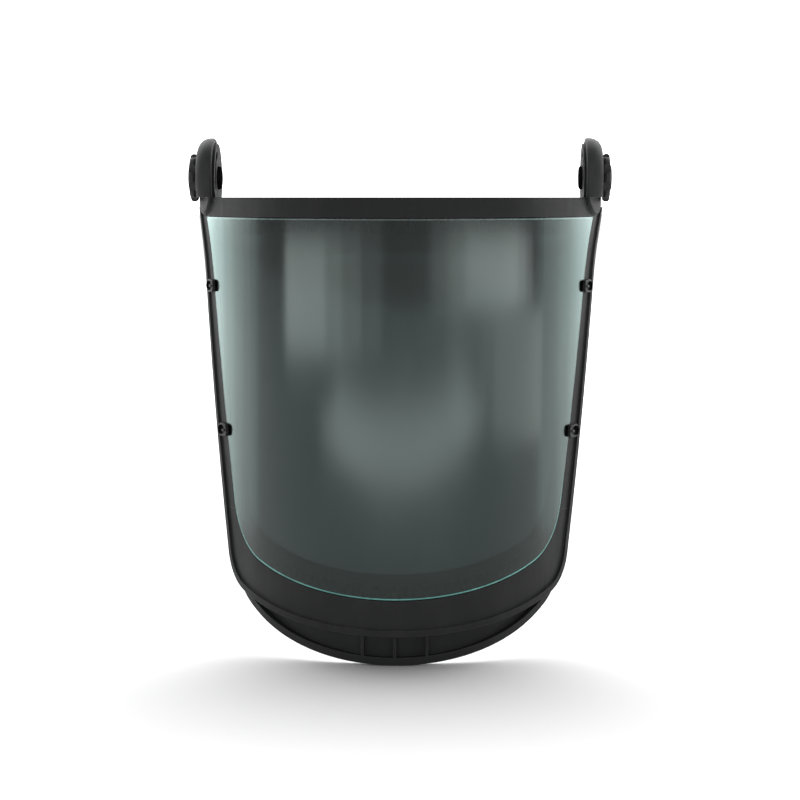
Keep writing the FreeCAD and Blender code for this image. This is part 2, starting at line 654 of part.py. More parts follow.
def ring_wall(t_in, t_out, half):
    """Complete elliptical band between two offsets, half each way in height."""
    faces = []
    for t in (t_in, t_out):
        ellipse = Part.Ellipse(Vector(0, 0, -half), RING_B + t, RING_A + t).toShape()
        ellipse.rotate(Vector(0, 0, 0), Z_AXIS, 90)
        faces.append(Part.Face(Part.Wire(ellipse)).extrude(Z_AXIS * 2 * half))
    return faces[1].cut(faces[0])


def tilted(shape):
    """Ring parts are laid out level and hang with their nape end lower."""
    shape.rotate(Vector(0, 0, 0), X_AXIS, RING_TILT)
    return shape


def side_prism(flat):
    """Outline in (y, z) carried right across the head."""
    return rounded_prism(flat, Vector(-150, 0, 0), Y_AXIS, Z_AXIS, 300)


def rear_prism(flat):
    """Outline in (x, z) carried through the back half of the ring."""
    return rounded_prism(flat, Vector(0, 150, 0), X_AXIS, Z_AXIS, 150)


def headband_front():
    outline = rounded([(-130, -13, 0), (-60, -13, 60), (-10, -STRAP_HALF, 40), (BAND_END, -STRAP_HALF, 6),
                       (BAND_END, STRAP_HALF, 6), (-10, STRAP_HALF, 40), (-60, 15, 60), (-130, 15, 0)])
    band = ring_wall(0, BAND_THICKNESS, 20).common(side_prism(outline))
    for angle in band_rivet_angles():
        band = band.cut(ring_rod(angle, 0, RIVET_RADIUS, -1, 4))
    return tilted(band)


def band_rivet_angles():
    right = PAD_RIVETS + STRAP_RIVETS
    return right + [180 - angle for angle in right]


def ring_rod(angle, height, radius, t0, t1):
    """Round rod square to the band."""
    normal = ring_normal(angle)
    start = ring_place(angle, 0, height) + normal * t0
    return cylinder(radius, start, normal, t1 - t0)


def ring_rivet(angle, height, grip):
    """Rivet through the band with a low head on each side."""
    rod = ring_rod(angle, height, RIVET_RADIUS, 0, grip)
    normal = ring_normal(angle)
    start = ring_place(angle, 0, height) + normal * grip
    head = revolved([(0, 0, 0), (0, RIVET_HEAD, 0), (1.1, RIVET_HEAD, 0.9), (1.1, 0, 0)], start,
                    normal, any_side(normal))
    return rod.fuse(head).removeSplitter()


def rivet_group(angles, grip):
    every = angles + [180 - angle for angle in angles]
    return Part.makeCompound([tilted(ring_rivet(angle, 0, grip)) for angle in every])


def sweatband():
    """Foam pad round the forehead, inside the band."""
    outline = rounded([(-130, -14.5, 0), (-44, -13.5, 8), (-44, 13.5, 8), (-130, 16.5, 0)])
    return tilted(ring_wall(-5.5, -0.1, 20).common(side_prism(outline)))


def rear_strap(side):
    """Strap from the ear to past the nape; its tail carries the rack on one edge."""
    sign = SIDES[side]
    up = -sign                  # the left strap's tail is the upper one
    strap = ring_wall(STRAP_IN, STRAP_OUT, STRAP_HALF)
    ends = rounded([(1, -STRAP_HALF, 5), (150, -STRAP_HALF, 0), (150, STRAP_HALF, 0), (1, STRAP_HALF, 5)])
    strap = strap.common(side_prism(ends))
    tip, edge = TAIL_TIP * up, STRAP_HALF * up
    start = 38.0 * sign
    reach = -30.0 * sign
    outline = rounded([(sign * 120, -edge, 0), (start, -edge, 4), (start - sign * 3, tip, 2),
                       (reach, tip, 0.8), (reach, edge, 2), (sign * 120, edge, 0)])
    strap = strap.common(rear_prism(outline))
    strap = strap.cut(rack_notches(sign, up))
    for angle in STRAP_RIVETS:
        strap = strap.cut(ring_rod(angle if sign > 0 else 180 - angle, 0, RIVET_RADIUS, -1, 5))
    return tilted(strap)


def rack_notches(sign, up):
    """Tooth spaces of the rack, centred so that one space faces the pinion."""
    pitch = 2 * math.pi * PINION_PITCH_RADIUS / PINION_TEETH
    notches = []
    for step in range(-10, 11):
        x = step * pitch
        turn = math.degrees(math.acos(max(-1.0, min(1.0, x / (RING_A + STRAP_IN)))))
        normal = ring_normal(turn)
        start = ring_place(turn, STRAP_IN - 1)
        side = Vector(-normal.y, normal.x, 0)
        shape = rounded([(-0.95, TAIL_TIP - 0.3, 0), (0.95, TAIL_TIP - 0.3, 0),
                         (0.55, TAIL_TIP + RACK_DEPTH, 0), (-0.55, TAIL_TIP + RACK_DEPTH, 0)])
        if up < 0:
            shape.rotate(Vector(0, 0, 0), Z_AXIS, 180)
        if side.cross(Z_AXIS).dot(normal) < 0:
            start += normal * 4
        notches.append(rounded_prism(shape, start, side, Z_AXIS, 5))
    return Part.makeCompound(notches)


def temple_bracket(side):
    """Moulded arm from the band out to the disc that the ear tilts on."""
    pad = rounded([(-54, -9, 5), (-10, -9, 5), (-10, 9, 5), (-54, 9, 5)])
    pad = ring_wall(BAND_THICKNESS + 0.05, PAD_OUTER, 14).common(side_prism(pad))
    pad = pad.common(Part.makeBox(200, 400, 60, Vector(0, -200, -30)))
    for angle in PAD_RIVETS:
        pad = pad.cut(ring_rod(angle, 0, RIVET_RADIUS, -1, 8))
    pad = tilted(pad)
    x_in = BRACKET_OUTER_X - BRACKET_THICKNESS
    arm = rounded([(83.8, -2.5, 0), (x_in - 3, 7.5, 3), (BRACKET_OUTER_X, 12, 3), (BRACKET_OUTER_X, 46, 0),
                   (x_in, 46, 0), (x_in, 12, 2), (83.8, 1.5, 0)])
    arm = rounded_prism(arm, Vector(0, PIVOT_Y + 17, 0), X_AXIS, Z_AXIS, 16)
    arm = arm.cut(tilted(ring_wall(-20, BAND_THICKNESS + 0.05, 40)))
    rib = rounded([(84.5, 0, 0), (x_in + 0.5, 10.5, 0), (x_in + 0.5, 22, 0), (104, 11, 6), (84.5, 5.5, 0)])
    rib = rounded_prism(rib, Vector(0, PIVOT_Y + 10.5, 0), X_AXIS, Z_AXIS, 3)
    rib = rib.cut(tilted(ring_wall(-20, BAND_THICKNESS + 0.05, 40)))
    bracket = pivot_disc(BRACKET_RADIUS, x_in, BRACKET_OUTER_X).fuse([arm, rib, pad])
    bracket = bracket.cut(pivot_disc(STUD_RADIUS, *THROUGH_X))
    bracket = bracket.cut(stop_slot())
    return mirrored(bracket.removeSplitter(), side)


def stop_slot():
    """Arc slot that the stop pin runs in; half a degree longer than the tilt at each end."""
    first = STOP_REST_ANGLE - TILT_RANGE - 0.5
    last = STOP_REST_ANGLE + 0.5
    half = STOP_PIN_RADIUS + 0.2
    ring = pivot_disc(STOP_RADIUS + half, *SLOT_X).cut(pivot_disc(STOP_RADIUS - half, *SLOT_X))
    slot = ring.common(pivot_sector(STOP_RADIUS + 6, first, last, *SLOT_X))
    ends = [cylinder(half, pivot_point(angle, STOP_RADIUS, SLOT_X[0]), X_AXIS, SLOT_X[1] - SLOT_X[0])
            for angle in (first, last)]
    return slot.fuse(ends)


# ---------------------------------------------------------------- ratchet at the nape
def nape_y(t):
    return RING_B + t


def ratchet_housing():
    """Inner half: a curved plate behind the straps with ledges that guide their edges."""
    plate = rear_prism(rounded([(-HOUSING_HALF, -HOUSING_HEIGHT, 7), (HOUSING_HALF, -HOUSING_HEIGHT, 7),
                                (HOUSING_HALF, HOUSING_HEIGHT, 7), (-HOUSING_HALF, HOUSING_HEIGHT, 7)]))
    channel = rear_prism(rectangle(-60, -STRAP_HALF - 0.3, 60, STRAP_HALF + 0.3))
    housing = ring_wall(-1.0, STRAP_OUT + 0.3, 30).common(plate)
    housing = housing.cut(ring_wall(BAND_THICKNESS, 12, 30).common(channel))
    for x, z in HOUSING_SCREWS:
        housing = housing.cut(nape_rod(x, z, SCREW_RADIUS, 0.5, 8))
    return tilted(housing)


def nape_rod(x, z, radius, t0, t1):
    """Rod along the local rear axis between two depths behind the band's inner face."""
    return cylinder(radius, Vector(x, nape_y(t0) - nape_sag(x), z), Y_AXIS, t1 - t0)


def nape_sag(x):
    return RING_B - RING_B * math.sqrt(1 - (x / RING_A) ** 2)


def ratchet_cover():
    """Outer half: a shallow domed shell with the knob's seat."""
    outline = rear_prism(rounded([(-HOUSING_HALF + 1, -HOUSING_HEIGHT + 1, 6),
                                  (HOUSING_HALF - 1, -HOUSING_HEIGHT + 1, 6),
                                  (HOUSING_HALF - 1, HOUSING_HEIGHT - 1, 6),
                                  (-HOUSING_HALF + 1, HOUSING_HEIGHT - 1, 6)]))
    cover = ring_wall(STRAP_OUT + 0.3, COVER_OUT, 30).common(outline)
    seat = cylinder(15.0, Vector(0, nape_y(4.2), 0), Y_AXIS, SHELL_OUT - 4.2)
    cover = cover.fuse(seat.cut(ring_wall(-20, STRAP_OUT + 0.3, 30)))
    cover = cover.cut(cylinder(PINION_SHAFT + 0.08, Vector(0, 90, 0), Y_AXIS, 60))
    for x, z in HOUSING_SCREWS:
        cover = cover.cut(nape_rod(x, z, SCREW_RADIUS, 0, 12))
        cover = cover.cut(nape_rod(x, z, 2.4, COVER_SCREW_SEAT, 12))
    return tilted(cover.removeSplitter())


def housing_screws():
    return Part.makeCompound([
        tilted(screw(Vector(x, nape_y(COVER_SCREW_SEAT) - nape_sag(x), z), -Y_AXIS, SCREW_RADIUS,
                     4.6, 2.2, 1.2))
        for x, z in HOUSING_SCREWS])


def pinion():
    """Pinion between the two racks, on a shaft that drives from the knob."""
    step = 2 * math.pi / PINION_TEETH
    corners = []
    for tooth in range(PINION_TEETH):
        middle = tooth * step + math.pi / 2
        for radius, share in ((PINION_ROOT, -0.32), (PINION_TIP, -0.13), (PINION_TIP, 0.13),
                              (PINION_ROOT, 0.32)):
            turn = middle + share * step
            corners.append(Vector(radius * math.cos(turn), radius * math.sin(turn)))
    wheel = Part.Face(Part.makePolygon(corners + corners[:1]))
    gear = rounded_prism(wheel, Vector(0, nape_y(STRAP_OUT + 0.1), 0), X_AXIS, Z_AXIS,
                         STRAP_OUT + 0.1 - BAND_THICKNESS - 0.1)
    shaft = cylinder(PINION_SHAFT, Vector(0, nape_y(STRAP_OUT + 0.1), 0), Y_AXIS,
                     KNOB_SEAT + 5 - STRAP_OUT - 0.1)
    gear = gear.fuse(shaft)
    gear = gear.cut(cylinder(RATCHET_SCREW_RADIUS, Vector(0, nape_y(4), 0), Y_AXIS, 40))
    return tilted(gear.removeSplitter())


def detent_plate():
    """Spring ring under the knob with two clicking lugs."""
    y = nape_y(SHELL_OUT)
    ring = cylinder(11.0, Vector(0, y, 0), Y_AXIS, 0.8).cut(cylinder(8.6, Vector(0, y - 1, 0), Y_AXIS, 3))
    for turn in (0, 180):
        lug = Part.makeBox(3.0, 1.5, 2.0, Vector(10.0, y, -1.0))
        lug.rotate(Vector(0, 0, 0), Y_AXIS, turn)
        ring = ring.fuse(lug)
    return tilted(ring.removeSplitter())


def ratchet_knob():
    """Grip knob with flutes, a hollow underside and a screw recess."""
    y = nape_y(KNOB_SEAT)
    knob = revolved([(0, 0, 0), (0, RATCHET_KNOB_RADIUS - 1, 0.8), (2, RATCHET_KNOB_RADIUS, 1),
                     (RATCHET_KNOB_DEPTH, RATCHET_KNOB_RADIUS - 1.5, 3), (RATCHET_KNOB_DEPTH, 7, 1.5),
                     (RATCHET_KNOB_DEPTH - 2, 6, 0.8), (RATCHET_KNOB_DEPTH - 2, 0, 0)],
                    Vector(0, y, 0), Y_AXIS, Z_AXIS)
    for flute in range(RATCHET_FLUTES):
        turn = 2 * math.pi * flute / RATCHET_FLUTES
        centre = Vector((RATCHET_KNOB_RADIUS + 1.4) * math.cos(turn), y - 1,
                        (RATCHET_KNOB_RADIUS + 1.4) * math.sin(turn))
        knob = knob.cut(cylinder(2.6, centre, Y_AXIS, RATCHET_KNOB_DEPTH + 2))
    hollow = cylinder(17.0, Vector(0, y - 1, 0), Y_AXIS, 4.0)
    hollow = hollow.cut(cylinder(7.5, Vector(0, y - 1, 0), Y_AXIS, 4.0))
    knob = knob.cut(hollow)
    knob = knob.cut(cylinder(PINION_SHAFT, Vector(0, y - 1, 0), Y_AXIS, 6))
    knob = knob.cut(cylinder(RATCHET_SCREW_RADIUS, Vector(0, y, 0), Y_AXIS, 40))
    return tilted(knob.removeSplitter())


def ratchet_screw():
    seat = Vector(0, nape_y(KNOB_SEAT + RATCHET_KNOB_DEPTH - 2), 0)
    return tilted(screw(seat, -Y_AXIS, RATCHET_SCREW_RADIUS, 15.0, 3.6, 1.8))


def nape_pad():
    outline = rear_prism(rounded([(-30, -14, 7), (30, -14, 7), (30, 14, 7), (-30, 14, 7)]))
    return tilted(ring_wall(-6.5, -1.1, 20).common(outline))


# ---------------------------------------------------------------- write every node
def all_nodes():
    nodes = {
        "brow_bar": brow_bar, "chin_guard": chin_guard, "chin_lip": chin_lip, "visor": visor,
        "visor_gasket": visor_gasket, "clip_screws": clip_screws, "frame_screws": frame_screws,
        "lip_screws": lip_screws, "headband_front": headband_front, "sweatband": sweatband,
        "bracket_rivets": lambda: rivet_group(PAD_RIVETS, PAD_OUTER),
        "strap_rivets": lambda: rivet_group(STRAP_RIVETS, STRAP_OUT),
        "ratchet_housing": ratchet_housing, "ratchet_cover": ratchet_cover,
        "housing_screws": housing_screws, "detent_plate": detent_plate, "ratchet_knob": ratchet_knob,
        "pinion": pinion, "ratchet_screw": ratchet_screw, "nape_pad": nape_pad}
    paired = {
        "side_arm": side_arm, "pivot_bush": pivot_bush, "stop_pin": stop_pin, "pivot_stud": pivot_stud,
        "friction_washer": friction_washer, "clamp_knob": clamp_knob, "knob_insert": knob_insert,
        "spring_washer": spring_washer, "temple_bracket": temple_bracket, "rear_strap": rear_strap}
    for name, build in paired.items():
        for side in SIDES:
            nodes[f"{name}_{side}"] = lambda build=build, side=side: build(side)
    for level in CLIP_HEIGHTS:
        for side in SIDES:
            nodes[f"visor_clip_{level}_{side}"] = lambda side=side, level=level: visor_clip(side, level)
    return nodes


os.makedirs("parts", exist_ok=True)
for node, build in all_nodes().items():
    shape = build()
    if not shape.isValid():
        print("not valid:", node)
    shape.exportStep(f"parts/{node}.step")
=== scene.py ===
"""Looks of a tinted flip-up face shield with a ratchet headband.

Everything is in metres in the frame of the CAD model: the front is -Y, up is +Z and the origin is
the centre of the headband. "Left" is -X.
"""
import math

import bmesh
import bpy
from mathutils import Matrix, Vector


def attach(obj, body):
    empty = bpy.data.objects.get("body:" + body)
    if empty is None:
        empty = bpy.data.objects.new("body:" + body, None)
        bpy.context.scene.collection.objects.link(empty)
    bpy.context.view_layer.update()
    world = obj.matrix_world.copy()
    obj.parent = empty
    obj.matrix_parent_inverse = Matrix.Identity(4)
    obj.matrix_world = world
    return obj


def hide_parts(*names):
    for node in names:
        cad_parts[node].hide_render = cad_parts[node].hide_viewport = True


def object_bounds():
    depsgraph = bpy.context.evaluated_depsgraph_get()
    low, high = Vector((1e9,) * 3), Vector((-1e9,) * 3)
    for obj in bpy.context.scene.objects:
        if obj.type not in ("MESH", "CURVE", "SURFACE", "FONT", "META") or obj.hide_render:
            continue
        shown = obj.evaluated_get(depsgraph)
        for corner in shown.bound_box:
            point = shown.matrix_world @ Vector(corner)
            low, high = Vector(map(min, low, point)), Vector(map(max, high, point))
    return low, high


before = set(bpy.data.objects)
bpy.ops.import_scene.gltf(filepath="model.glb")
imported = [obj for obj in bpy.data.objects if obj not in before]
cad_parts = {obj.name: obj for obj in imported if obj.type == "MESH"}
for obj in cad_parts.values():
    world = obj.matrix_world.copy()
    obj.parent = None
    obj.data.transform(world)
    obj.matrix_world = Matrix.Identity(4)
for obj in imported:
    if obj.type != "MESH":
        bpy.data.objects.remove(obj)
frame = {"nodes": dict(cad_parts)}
CAD_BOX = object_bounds()

MM = 0.001

# ---------------------------------------------------------------- sizes of the curved face
FRONT_Y = -150 * MM                # outer visor face on the centre line
FRONT_RADIUS = 110 * MM
FRONT_HALF_ANGLE = math.radians(52)
SIDE_RADIUS = 210 * MM
FRONT_ARC = FRONT_RADIUS * FRONT_HALF_ANGLE
VISOR_TOP = 26 * MM
VISOR_BOTTOM = -194 * MM
VISOR_BOTTOM_RADIUS = 267 * MM
VISOR_CORNER = 45 * MM
VISOR_TOP_REACH = 168 * MM         # from the centre line to the ends of the line along its top
KNEE = Vector((154.2 * MM, -4 * MM))   # where the visor's side turns outwards into the flare (s, z)
SIDE_SLOPE = 0.2356                # how far the side comes in for each unit down

# ---------------------------------------------------------------- sizes of the headband
RING_A = 82.5 * MM                 # inner half width
RING_B = 104 * MM                  # inner half length
RING_TILT = math.radians(-10.6)
SWEAT_MIDDLE = math.radians(-90)
SWEAT_REACH = math.radians(64.5)
SWEAT_BOTTOM = -14.2 * MM          # at the middle of the pad; it narrows towards its ends
SWEAT_TOP = 15.8 * MM
SWEAT_GAP = 0.15 * MM              # between the pad's back and the line of the headband's inner face
SWEAT_SEAMS = (-0.62, -0.22, 0.22, 0.62)
NAPE_MIDDLE = math.radians(90)
NAPE_REACH = math.radians(21)
NAPE_HALF_HEIGHT = 13.8 * MM
NAPE_GAP = 1.15 * MM
NAPE_SEAMS = (-0.36, 0.36)
PAD_DEPTH = 5.3 * MM
BORDER_DEPTH = 0.13                # these three are shares of PAD_DEPTH
HEM_DEPTH = 0.26
CROWN_DEPTH = 0.60                 # above the hems
SEAM_PINCH = 0.72                  # share of the crown that a seam takes away
PAD_SWELL = 1.6 * MM               # furthest that a point of a pad moves when it is inflated
INFLATE_STEPS = 20
HEM_LEVEL = 0.88                   # the rows of stitches, from -1 to 1 across a pad
STITCH_DEPTH = 0.27                # just above the hems
STITCH_HALF = 1.0 * MM
THREAD_RADIUS = 0.24 * MM

# ---------------------------------------------------------------- studio
# Azimuths are in degrees round a hub: 0 is the front and 90 is +X.
WORLD_FRONT = 0.34
WORLD_BACK = 2.6
SIDE_HUB = Vector((0.11, -0.06))   # middle of the visor's right side
SIDE_DISTANCE = 0.42
SIDE_END = 152
SIDE_STEPS = ((96, 0.62), (112, 0.5), (120, 0.5), (127, 0.5))   # start and radiance of each strip
SIDE_TINT = (0.68, 1.0, 0.95)
SIDE_LEVEL = -0.07
SIDE_HEIGHT = 0.33
CARD_HUB = Vector((0, -0.13))      # middle of the visor's front
CARD_DISTANCE = 0.6
FRONT_CARDS = (                    # azimuths, level, height and radiance; overlaps give soft sides
    ((-78, -48), -0.045, 0.09, 1.6),
    ((-78, -36), -0.045, 0.10, 1.0),
    ((-77, -24), -0.045, 0.10, 0.9),
    ((-76, -10), -0.04, 0.11, 0.8),
    ((22, 96), -0.02, 0.06, 1.7),
    ((34, 90), -0.02, 0.06, 1.8),
    ((46, 84), -0.02, 0.06, 1.8),
    ((34, 104), -0.11, 0.11, 0.35),
    ((56, 104), -0.11, 0.11, 0.7),
    ((66, 102), -0.11, 0.11, 0.7),
)
LOW_CARDS = ((1.0, 0.4), (1.5, 0.5), (2.1, 0.6))   # width and depth, lying on the floor
LOW_CARD_PLACE = (0.10, -1.12, -0.228)
LOW_CARD_RADIANCE = 4.2
FILL_RADIANCE = 3.2
CHIN_RADIANCE = 7
EAR_RADIANCE = 7
FLOOR_REACH = 30.0
FLOOR_GAP = 0.2 * MM               # under the object's lowest point
EYE = (0.035, -1.25, 0.038)
EYE_DOWN = 5.98                    # degrees
EYE_LEFT = 1.65                    # degrees
LENS = 87.1                        # mm


def face_point(s, z, t):
    """Point at distance s round the visor's outer face and height z, t outside that face."""
    reach = abs(s)
    centre = Vector((0, FRONT_Y + FRONT_RADIUS, z))
    radius = FRONT_RADIUS
    angle = reach / FRONT_RADIUS
    side = math.copysign(1, s)
    if reach > FRONT_ARC:
        shift = SIDE_RADIUS - FRONT_RADIUS
        centre -= Vector((side * math.sin(FRONT_HALF_ANGLE), -math.cos(FRONT_HALF_ANGLE), 0)) * shift
        radius = SIDE_RADIUS
        angle = FRONT_HALF_ANGLE + (reach - FRONT_ARC) / SIDE_RADIUS
    return centre + Vector((side * math.sin(angle), -math.cos(angle), 0)) * (radius + t)


def ring_point(angle, height, t):
    """Point of the tilted headband at a parametric angle from +X, t outside its inner face."""
    point = Vector(((RING_A + t) * math.cos(angle), (RING_B + t) * math.sin(angle), height))
    return Matrix.Rotation(RING_TILT, 3, "X") @ point


# ---------------------------------------------------------------- materials
class Shader:
    """A material whose node tree is built one node at a time."""

    def __init__(self, name):
        self.material = bpy.data.materials.new(name)
        self.material.use_nodes = True
        self.tree = self.material.node_tree
        self.bsdf = self.tree.nodes["Principled BSDF"]
        self.place = self.add("TexCoord").outputs["Object"]

    def add(self, kind, **settings):
        node = self.tree.nodes.new("ShaderNode" + kind)
        for key, value in settings.items():
            setattr(node, key, value)
        return node

    def link(self, source, node, socket):
        self.tree.links.new(source, node.inputs[socket])

    def fix(self, **values):
        """Same value all over the surface, on the shader's own sockets."""
        for key, value in values.items():
            self.bsdf.inputs[key.replace("_", " ")].default_value = value

    def stretched(self, scale):
        """Object coordinates stretched by a factor along each axis."""
        node = self.add("Mapping")
        self.link(self.place, node, "Vector")
        node.inputs["Scale"].default_value = scale
        return node.outputs["Vector"]

    def noise(self, scale, detail=2.0, rough=0.5, vector=None, distortion=0.0):
        """Soft noise from 0 to 1, at the object's own coordinates or at stretched ones."""
        node = self.add("TexNoise")
        self.link(vector or self.place, node, "Vector")
        node.inputs["Scale"].default_value = scale
        node.inputs["Detail"].default_value = detail
        node.inputs["Roughness"].default_value = rough
        node.inputs["Distortion"].default_value = distortion
        return node.outputs["Fac"]

    def cells(self, scale):
        """Distance to the nearest of many scattered points."""
        node = self.add("TexVoronoi")
        self.link(self.place, node, "Vector")
        node.inputs["Scale"].default_value = scale
        return node.outputs["Distance"]

    def math(self, operation, a, b=None):
        node = self.add("Math", operation=operation)
        for i, value in enumerate((a, b)):
            if value is None:
                continue
            if isinstance(value, (int, float)):
                node.inputs[i].default_value = value
            else:
                self.link(value, node, i)
        return node.outputs[0]

    def remap(self, value, low, high, to_low=0.0, to_high=1.0):
        node = self.add("MapRange")
        self.link(value, node, "Value")
        for key, number in (("From Min", low), ("From Max", high), ("To Min", to_low), ("To Max", to_high)):
            node.inputs[key].default_value = number
        return node.outputs["Result"]

    def mix(self, factor, a, b):
        """Colour between a and b; each may be a colour or another node's output."""
        node = self.add("Mix", data_type="RGBA")
        self.link(factor, node, 0)
        for socket, value in ((6, a), (7, b)):
            if isinstance(value, tuple):
                node.inputs[socket].default_value = (*value, 1)
            else:
                self.link(value, node, socket)
        return node.outputs[2]

    def worn_edge(self, radius):
        """Mask that is 1 along edges and 0 on faces, and the normal with its edges rounded."""
        bevel = self.add("Bevel", samples=4)
        bevel.inputs["Radius"].default_value = radius
        dot = self.add("VectorMath", operation="DOT_PRODUCT")
        self.link(bevel.outputs["Normal"], dot, 0)
        self.link(self.add("NewGeometry").outputs["Normal"], dot, 1)
        return self.remap(dot.outputs["Value"], 0.995, 0.80), bevel.outputs["Normal"]

    def bump(self, height, depth, strength=1.0, normal=None):
        node = self.add("Bump")
        node.inputs["Strength"].default_value = strength
        node.inputs["Distance"].default_value = depth
        self.link(height, node, "Height")
        if normal is not None:
            self.link(normal, node, "Normal")
        return node.outputs["Normal"]

    def finish(self, colour=None, roughness=None, normal=None):
        for value, socket in ((colour, "Base Color"), (roughness, "Roughness"), (normal, "Normal")):
            if value is not None:
                self.link(value, self.bsdf, socket)
        return self.material


def moulded(name, dark, light, worn, rough, grain, grain_depth, edge, specular, coat=0.0):
    """Injection-moulded plastic: clouded colour, spark-eroded grain, softened and paler edges."""
    shader = Shader(name)
    clouds = shader.noise(24, 4, 0.6)
    fine = shader.noise(grain, 3, 0.65)
    pits = shader.cells(grain * 0.55)
    colour = shader.mix(shader.remap(clouds, 0.3, 0.7), dark, light)
    mask, rounded = shader.worn_edge(edge)
    scuffs = shader.noise(60, 6, 0.75, shader.stretched((1, 1, 0.25)))
    wear = shader.math("MULTIPLY", mask, shader.remap(scuffs, 0.40, 0.62, 0.25, 1))
    colour = shader.mix(wear, colour, worn)
    low, high = rough
    roughness = shader.math("SUBTRACT", shader.remap(scuffs, 0.3, 0.75, high, low),
                            shader.math("MULTIPLY", wear, 0.12))
    relief = shader.math("ADD", fine, shader.math("MULTIPLY", pits, 0.6))
    normal = shader.bump(relief, grain_depth, 0.8, rounded)
    shader.fix(Specular_IOR_Level=specular, Coat_Weight=coat, Coat_Roughness=0.22)
    return shader.finish(colour, roughness, normal)


def polycarbonate():
    """Green-tinted sheet: dark in the body, softly smeared, with a few specks of dust."""
    shader = Shader("tinted_polycarbonate")
    smear = shader.noise(14, 3, 0.55, shader.stretched((1, 1, 0.3)), 0.6)
    tint = shader.mix(shader.remap(smear, 0.3, 0.7), (0.0048, 0.0078, 0.0075), (0.0075, 0.0112, 0.0107))
    haze = shader.noise(7, 2, 0.5)
    roughness = shader.remap(shader.math("ADD", smear, haze), 0.6, 1.4, 0.12, 0.20)
    specks = shader.remap(shader.cells(85), 0.05, 0.02)
    shader.fix(Transmission_Weight=1.0, IOR=1.47, Specular_Tint=(0.84, 1.0, 0.96, 1))
    return shader.finish(tint, roughness, shader.bump(specks, 0.00004, 0.6))


def painted_glow_edge():
    """Cut edge of the sheet with a painted glow: pale green base colour and a faint emission stand in for
    the light carried inside the sheet coming out, painted along the bottom and along the outer parts of the
    top.
    """
    shader = Shader("polycarbonate_edge")
    along = shader.noise(45, 4, 0.6)
    # painted glow: pale green colour that stands in for light piped out of the cut edge
    painted_glow_colour = shader.mix(shader.remap(along, 0.35, 0.65), (0.035, 0.165, 0.145), (0.10, 0.32, 0.28))
    place = shader.add("SeparateXYZ")
    shader.link(shader.place, place, "Vector")
    width = shader.math("ABSOLUTE", place.outputs["X"])
    # where the glow is painted: along the bottom edge, and along the top edge away from the middle
    low = shader.remap(place.outputs["Z"], -0.12, -0.175)
    high = shader.math("MULTIPLY", shader.remap(place.outputs["Z"], 0.015, 0.022, 0, 0.25),
                       shader.remap(width, 0.03, 0.10))
    colour = shader.mix(shader.math("MAXIMUM", low, high), (0.016, 0.024, 0.023), painted_glow_colour)
    tooling = shader.noise(900, 2, 0.5)
    # painted light: the edge glows a little though it is no lamp
    shader.fix(IOR=1.585, Emission_Strength=0.05)
    shader.link(colour, shader.bsdf, "Emission Color")
    return shader.finish(colour, shader.remap(tooling, 0.3, 0.7, 0.15, 0.35),
                         shader.bump(tooling, 0.00004, 0.4))


def knit(name, dark, light):
    """Brushed knit over foam: rows of small loops with a raised nap."""
    shader = Shader(name)
    loops = shader.add("TexWave", wave_type="BANDS", bands_direction="Z", wave_profile="SIN")
    ribs = shader.add("TexWave", wave_type="BANDS", bands_direction="DIAGONAL", wave_profile="SIN")
    for wave, scale in ((loops, 210), (ribs, 150)):
        shader.link(shader.place, wave, "Vector")
        wave.inputs["Scale"].default_value = scale
        wave.inputs["Distortion"].default_value = 2.2
        wave.inputs["Detail"].default_value = 2
        wave.inputs["Detail Scale"].default_value = 1.6
    nap = shader.noise(2600, 3, 0.7)
    patches = shader.noise(55, 3, 0.6)
    weave = shader.math("MULTIPLY", loops.outputs["Fac"], ribs.outputs["Fac"])
    height = shader.math("ADD", weave, shader.math("MULTIPLY", nap, 0.7))
    tone = shader.math("MULTIPLY", shader.remap(height, 0.1, 1.4), shader.remap(patches, 0.25, 0.75, 0.5, 1))
    shader.fix(Sheen_Weight=0.45, Sheen_Roughness=0.45, Specular_IOR_Level=0.15)
    return shader.finish(shader.mix(tone, dark, light), shader.remap(nap, 0.3, 0.7, 0.8, 0.97),
                         shader.bump(height, 0.00035, 0.9))


def thread():
    """Twisted sewing thread."""
    shader = Shader("seam_thread")
    twist = shader.noise(1500, 2, 0.5, shader.stretched((1, 1, 3)))
    shader.fix(Sheen_Weight=0.3, Sheen_Roughness=0.5)
    return shader.finish(shader.mix(twist, (0.035, 0.037, 0.04), (0.13, 0.135, 0.14)),
                         shader.remap(twist, 0.3, 0.7, 0.55, 0.8), shader.bump(twist, 0.0001, 0.7))


def metal(name, dark, light, rough, scale, grazing=(1, 1, 1, 1)):
    """Plated or turned metal: fine tool lines, faint tarnish, pale edges.

    grazing is the tint of what it mirrors along its face.
    """
    shader = Shader(name)
    lines = shader.noise(scale, 3, 0.6, shader.stretched((1, 8, 8)))
    tarnish = shader.noise(70, 4, 0.65)
    colour = shader.mix(shader.remap(tarnish, 0.35, 0.7), light, dark)
    mask, rounded = shader.worn_edge(0.2 * MM)
    colour = shader.mix(shader.math("MULTIPLY", mask, 0.7), colour, light)
    low, high = rough
    shader.fix(Metallic=1.0, Specular_Tint=grazing)
    return shader.finish(colour, shader.remap(lines, 0.3, 0.7, low, high),
                         shader.bump(lines, 0.00003, 0.5, rounded))


def rubber():
    """Soft gasket strip, dusty along its faces."""
    shader = Shader("gasket_rubber")
    dust = shader.noise(140, 5, 0.7)
    pores = shader.noise(1800, 2, 0.6)
    shader.fix(Specular_IOR_Level=0.25)
    colour = shader.mix(shader.remap(dust, 0.45, 0.8), (0.006, 0.006, 0.006), (0.014, 0.014, 0.014))
    return shader.finish(colour, shader.remap(dust, 0.3, 0.7, 0.7, 0.9), shader.bump(pores, 0.00004, 0.6))


